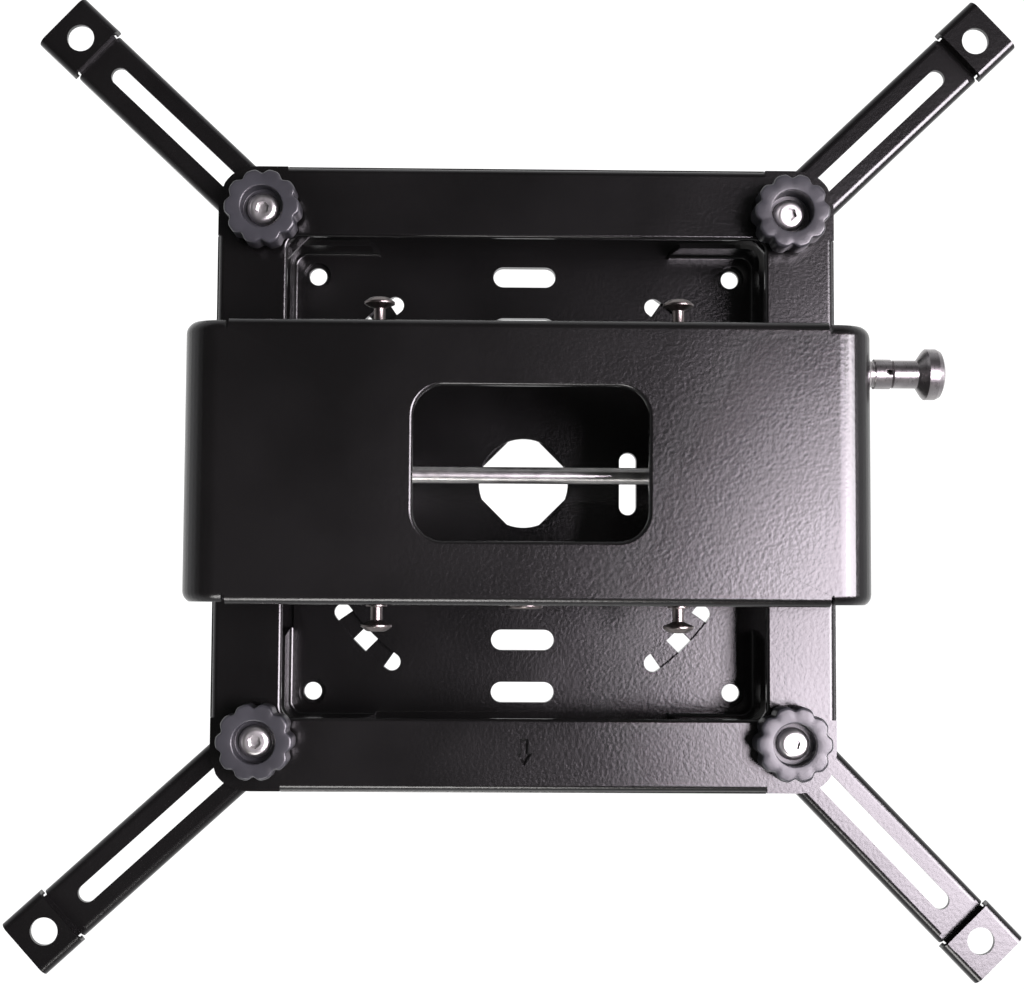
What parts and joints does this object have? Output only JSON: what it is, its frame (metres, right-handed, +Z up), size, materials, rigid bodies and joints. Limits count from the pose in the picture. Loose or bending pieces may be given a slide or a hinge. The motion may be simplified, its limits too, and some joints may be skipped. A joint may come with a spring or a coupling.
{
  "type": "projector ceiling mount",
  "caption": "Black steel ceiling mount with a turning plate, a tilting bridge, a square frame and slotted corner arms that carry a projector.",
  "frame": {"origin": "centre of the ceiling plate's upper face, in the middle of the ceiling screw pattern", "axes": "+Z up into the ceiling, +Y to the front as the stamped arrow points, +X to the side with the plunger"},
  "size_m": [0.4844, 0.4745, 0.129],
  "materials": {
    "black_coat": "satin black powder coat",
    "zinc": "bright zinc",
    "dark_zinc": "dark bronze zinc",
    "gunmetal": "burnished gunmetal",
    "grip": "fine matt",
    "friction": "smooth nylon",
    "spring_steel": "drawn wire"
  },
  "bodies": {
    "ceiling_side": {"ceiling_plate": "black_coat", "yaw_studs": "zinc", "yaw_washers": "friction", "yaw_nuts": "zinc"},
    "turntable_side": {"turntable": "black_coat", "hanger_front": "black_coat", "hanger_rear": "black_coat", "hanger_screws": "dark_zinc", "hanger_nuts": "zinc", "roll_bolts": "dark_zinc", "roll_washers": "friction", "roll_nuts": "zinc"},
    "ring_side": {"gimbal_ring": "black_coat", "pitch_rod": "zinc", "pitch_spacers": "zinc", "pitch_nuts": "zinc"},
    "projector_side": {"carriage": "black_coat", "hook_studs": "dark_zinc", "hook_nuts": "zinc", "bridge": "black_coat", "wing_bolts": "dark_zinc", "wing_nuts": "zinc", "projector_frame": "black_coat", "plunger_sleeve": "gunmetal", "plunger_nuts": "zinc", "plunger_spring": "spring_steel"},
    "plunger": {"plunger_pin": "zinc", "plunger_knob": "gunmetal"},
    "guide_rear_left": {"guide_nut_rear_left": "zinc"},
    "arm_rear_left": {"arm_rear_left": "black_coat"},
    "knob_rear_left": {"knob_rear_left": "grip", "knob_screw_rear_left": "zinc", "knob_washer_rear_left": "zinc"},
    "guide_rear_right": {"guide_nut_rear_right": "zinc"},
    "arm_rear_right": {"arm_rear_right": "black_coat"},
    "knob_rear_right": {"knob_rear_right": "grip", "knob_screw_rear_right": "zinc", "knob_washer_rear_right": "zinc"},
    "guide_front_left": {"guide_nut_front_left": "zinc"},
    "arm_front_left": {"arm_front_left": "black_coat"},
    "knob_front_left": {"knob_front_left": "grip", "knob_screw_front_left": "zinc", "knob_washer_front_left": "zinc"},
    "guide_front_right": {"guide_nut_front_right": "zinc"},
    "arm_front_right": {"arm_front_right": "black_coat"},
    "knob_front_right": {"knob_front_right": "grip", "knob_screw_front_right": "zinc", "knob_washer_front_right": "zinc"}
  },
  "joints": [
    {"name": "yaw", "type": "hinge", "parent": "ceiling_side", "child": "turntable_side", "pos_m": [0, 0, -0.005], "axis": [0, 0, 1], "range_deg": [-9, 9]},
    {"name": "roll", "type": "hinge", "parent": "turntable_side", "child": "ring_side", "pos_m": [0, 0, -0.062], "axis": [0, 1, 0], "range_deg": [-4.5, 4.5]},
    {"name": "pitch", "type": "hinge", "parent": "ring_side", "child": "projector_side", "pos_m": [0, 0, -0.062], "axis": [1, 0, 0], "range_deg": [-4.5, 4.5]},
    {"name": "plunger_pull", "type": "slide", "parent": "projector_side", "child": "plunger", "axis": [1, 0, 0], "range_m": [0, 0.0075], "stiffness_N_per_m": 900, "springref_m": -0.008, "deforming": ["plunger_spring"]},
    {"name": "arm_swing_rear_left", "type": "hinge", "parent": "projector_side", "child": "guide_rear_left", "pos_m": [-0.126, -0.126, -0.054], "axis": [0, 0, 1], "range_deg": [-15, 15]},
    {"name": "arm_reach_rear_left", "type": "slide", "parent": "guide_rear_left", "child": "arm_rear_left", "axis": [-0.729, -0.6845, 0], "range_m": [-0.05, 0.0127]},
    {"name": "knob_turn_rear_left", "type": "hinge", "parent": "projector_side", "child": "knob_rear_left", "pos_m": [-0.126, -0.126, -0.054], "axis": [0, 0, 1], "continuous": true},
    {"name": "arm_swing_rear_right", "type": "hinge", "parent": "projector_side", "child": "guide_rear_right", "pos_m": [0.126, -0.126, -0.054], "axis": [0, 0, 1], "range_deg": [-15, 15]},
    {"name": "arm_reach_rear_right", "type": "slide", "parent": "guide_rear_right", "child": "arm_rear_right", "axis": [0.723, -0.6909, 0], "range_m": [-0.05, 0.0094]},
    {"name": "knob_turn_rear_right", "type": "hinge", "parent": "projector_side", "child": "knob_rear_right", "pos_m": [0.126, -0.126, -0.054], "axis": [0, 0, 1], "continuous": true},
    {"name": "arm_swing_front_left", "type": "hinge", "parent": "projector_side", "child": "guide_front_left", "pos_m": [-0.126, 0.126, -0.054], "axis": [0, 0, 1], "range_deg": [-15, 15]},
    {"name": "arm_reach_front_left", "type": "slide", "parent": "guide_front_left", "child": "arm_front_left", "axis": [-0.7408, 0.6717, 0], "range_m": [-0.05, 0.0037]},
    {"name": "knob_turn_front_left", "type": "hinge", "parent": "projector_side", "child": "knob_front_left", "pos_m": [-0.126, 0.126, -0.054], "axis": [0, 0, 1], "continuous": true},
    {"name": "arm_swing_front_right", "type": "hinge", "parent": "projector_side", "child": "guide_front_right", "pos_m": [0.126, 0.126, -0.054], "axis": [0, 0, 1], "range_deg": [-15, 15]},
    {"name": "arm_reach_front_right", "type": "slide", "parent": "guide_front_right", "child": "arm_front_right", "axis": [0.6972, 0.7169, 0], "range_m": [-0.05, 0.0076]},
    {"name": "knob_turn_front_right", "type": "hinge", "parent": "projector_side", "child": "knob_front_right", "pos_m": [0.126, 0.126, -0.054], "axis": [0, 0, 1], "continuous": true}
  ]
}
